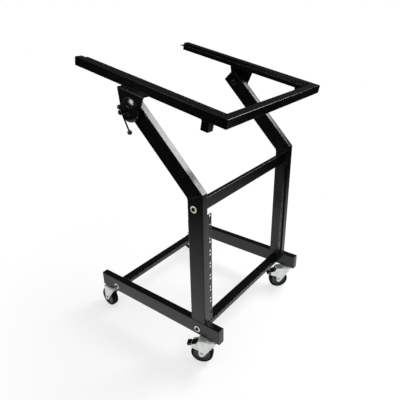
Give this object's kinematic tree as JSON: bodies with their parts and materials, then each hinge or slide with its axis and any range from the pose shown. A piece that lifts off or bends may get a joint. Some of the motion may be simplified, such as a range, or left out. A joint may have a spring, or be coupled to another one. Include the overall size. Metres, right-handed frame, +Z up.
{
  "type": "studio rack stand",
  "caption": "Rolling steel rack stand with an upright rack bay and a tilting, clutch-locked top frame for a rack-mount mixer.",
  "frame": {"origin": "on the floor, under the middle of the stand's box", "axes": "+Z up, +X to the stand's right seen from the front, +Y towards the rear"},
  "size_m": [0.6536, 0.6096, 0.9546],
  "materials": {
    "frame_paint": "semi-gloss black powder coat",
    "plug_plastic": "satin black",
    "screw_steel": "bright plated",
    "black_steel": "gloss black",
    "friction_lining": "matt",
    "bright_zinc": "bright zinc plating",
    "wheel_rubber": "satin black",
    "pedal_plastic": "satin black"
  },
  "bodies": {
    "lower_frame": {"left_floor_rail": "frame_paint", "left_post": "frame_paint", "left_arm": "frame_paint", "left_lower_rack_strip": "frame_paint", "left_front_plug": "plug_plastic", "left_rear_plug": "plug_plastic", "left_pivot_nut": "black_steel", "left_friction_disc": "friction_lining", "left_front_caster_stem": "bright_zinc", "left_rear_caster_stem": "bright_zinc", "right_floor_rail": "frame_paint", "right_post": "frame_paint", "right_arm": "frame_paint", "right_lower_rack_strip": "frame_paint", "right_front_plug": "plug_plastic", "right_rear_plug": "plug_plastic", "right_pivot_nut": "black_steel", "right_friction_disc": "friction_lining", "right_front_caster_stem": "bright_zinc", "right_rear_caster_stem": "bright_zinc", "front_lower_cross_bar": "frame_paint", "front_lower_cross_bar_left_screw": "screw_steel", "front_lower_cross_bar_right_screw": "screw_steel", "rear_lower_cross_bar": "frame_paint", "rear_lower_cross_bar_left_screw": "screw_steel", "rear_lower_cross_bar_right_screw": "screw_steel", "upper_cross_bar": "frame_paint", "upper_cross_bar_left_screw": "screw_steel", "upper_cross_bar_right_screw": "screw_steel"},
    "top_frame": {"left_top_rail": "frame_paint", "left_upper_rack_strip": "frame_paint", "left_pivot_bracket": "frame_paint", "left_stop_stub": "frame_paint", "left_top_plug": "plug_plastic", "left_cover_disc": "black_steel", "right_top_rail": "frame_paint", "right_upper_rack_strip": "frame_paint", "right_pivot_bracket": "frame_paint", "right_stop_stub": "frame_paint", "right_top_plug": "plug_plastic", "right_cover_disc": "black_steel", "top_front_bar": "frame_paint"},
    "left_clutch": {"left_clutch_screw": "black_steel"},
    "left_tommy": {"left_tommy_bar": "black_steel"},
    "right_clutch": {"right_clutch_screw": "black_steel"},
    "right_tommy": {"right_tommy_bar": "black_steel"},
    "left_front_swivel": {"left_front_caster_fork": "bright_zinc", "left_front_caster_axle": "bright_zinc"},
    "left_front_wheel": {"left_front_caster_wheel": "wheel_rubber"},
    "left_front_brake": {"left_front_brake_pedal": "pedal_plastic"},
    "right_front_swivel": {"right_front_caster_fork": "bright_zinc", "right_front_caster_axle": "bright_zinc"},
    "right_front_wheel": {"right_front_caster_wheel": "wheel_rubber"},
    "right_front_brake": {"right_front_brake_pedal": "pedal_plastic"},
    "left_rear_swivel": {"left_rear_caster_fork": "bright_zinc", "left_rear_caster_axle": "bright_zinc"},
    "left_rear_wheel": {"left_rear_caster_wheel": "wheel_rubber"},
    "right_rear_swivel": {"right_rear_caster_fork": "bright_zinc", "right_rear_caster_axle": "bright_zinc"},
    "right_rear_wheel": {"right_rear_caster_wheel": "wheel_rubber"}
  },
  "joints": [
    {"name": "top_frame_tilt", "type": "hinge", "parent": "lower_frame", "child": "top_frame", "pos_m": [0, 0.0218, 0.82253], "axis": [1, 0, 0], "range_deg": [-41.8, 33.2]},
    {"name": "left_clutch_turn", "type": "hinge", "parent": "lower_frame", "child": "left_clutch", "pos_m": [0, 0.0218, 0.82253], "axis": [-1, 0, 0], "range_deg": [0, 360]},
    {"name": "left_tommy_slide", "type": "slide", "parent": "left_clutch", "child": "left_tommy", "axis": [0, 0.4305, 0.9026], "range_m": [0, 0.0454]},
    {"name": "right_clutch_turn", "type": "hinge", "parent": "lower_frame", "child": "right_clutch", "pos_m": [0, 0.0218, 0.82253], "axis": [1, 0, 0], "range_deg": [0, 360]},
    {"name": "right_tommy_slide", "type": "slide", "parent": "right_clutch", "child": "right_tommy", "axis": [0, -0.7071, 0.7071], "range_m": [0, 0.0454]},
    {"name": "left_front_swivel_turn", "type": "hinge", "parent": "lower_frame", "child": "left_front_swivel", "pos_m": [-0.2625, -0.23924, 0.101], "axis": [0, 0, 1], "continuous": true},
    {"name": "left_front_wheel_spin", "type": "hinge", "parent": "left_front_swivel", "child": "left_front_wheel", "pos_m": [-0.2756, -0.21115, 0.0375], "axis": [0.9063, 0.4226, 0], "continuous": true},
    {"name": "left_front_brake_press", "type": "hinge", "parent": "left_front_swivel", "child": "left_front_brake", "pos_m": [-0.28279, -0.19574, 0.07667], "axis": [0.9063, 0.4226, 0], "range_deg": [-16, 0]},
    {"name": "right_front_swivel_turn", "type": "hinge", "parent": "lower_frame", "child": "right_front_swivel", "pos_m": [0.2625, -0.23924, 0.101], "axis": [0, 0, 1], "continuous": true},
    {"name": "right_front_wheel_spin", "type": "hinge", "parent": "right_front_swivel", "child": "right_front_wheel", "pos_m": [0.24136, -0.21657, 0.0375], "axis": [0.7314, 0.682, 0], "continuous": true},
    {"name": "right_front_brake_press", "type": "hinge", "parent": "right_front_swivel", "child": "right_front_brake", "pos_m": [0.22976, -0.20414, 0.07667], "axis": [0.7314, 0.682, 0], "range_deg": [-16, 0]},
    {"name": "left_rear_swivel_turn", "type": "hinge", "parent": "lower_frame", "child": "left_rear_swivel", "pos_m": [-0.2625, 0.23576, 0.101], "axis": [0, 0, 1], "continuous": true},
    {"name": "left_rear_wheel_spin", "type": "hinge", "parent": "left_rear_swivel", "child": "left_rear_wheel", "pos_m": [-0.25926, 0.26659, 0.0375], "axis": [0.9945, -0.1045, 0], "continuous": true},
    {"name": "right_rear_swivel_turn", "type": "hinge", "parent": "lower_frame", "child": "right_rear_swivel", "pos_m": [0.2625, 0.23576, 0.101], "axis": [0, 0, 1], "continuous": true},
    {"name": "right_rear_wheel_spin", "type": "hinge", "parent": "right_rear_swivel", "child": "right_rear_wheel", "pos_m": [0.25712, 0.26629, 0.0375], "axis": [0.9848, 0.1736, 0], "continuous": true}
  ]
}
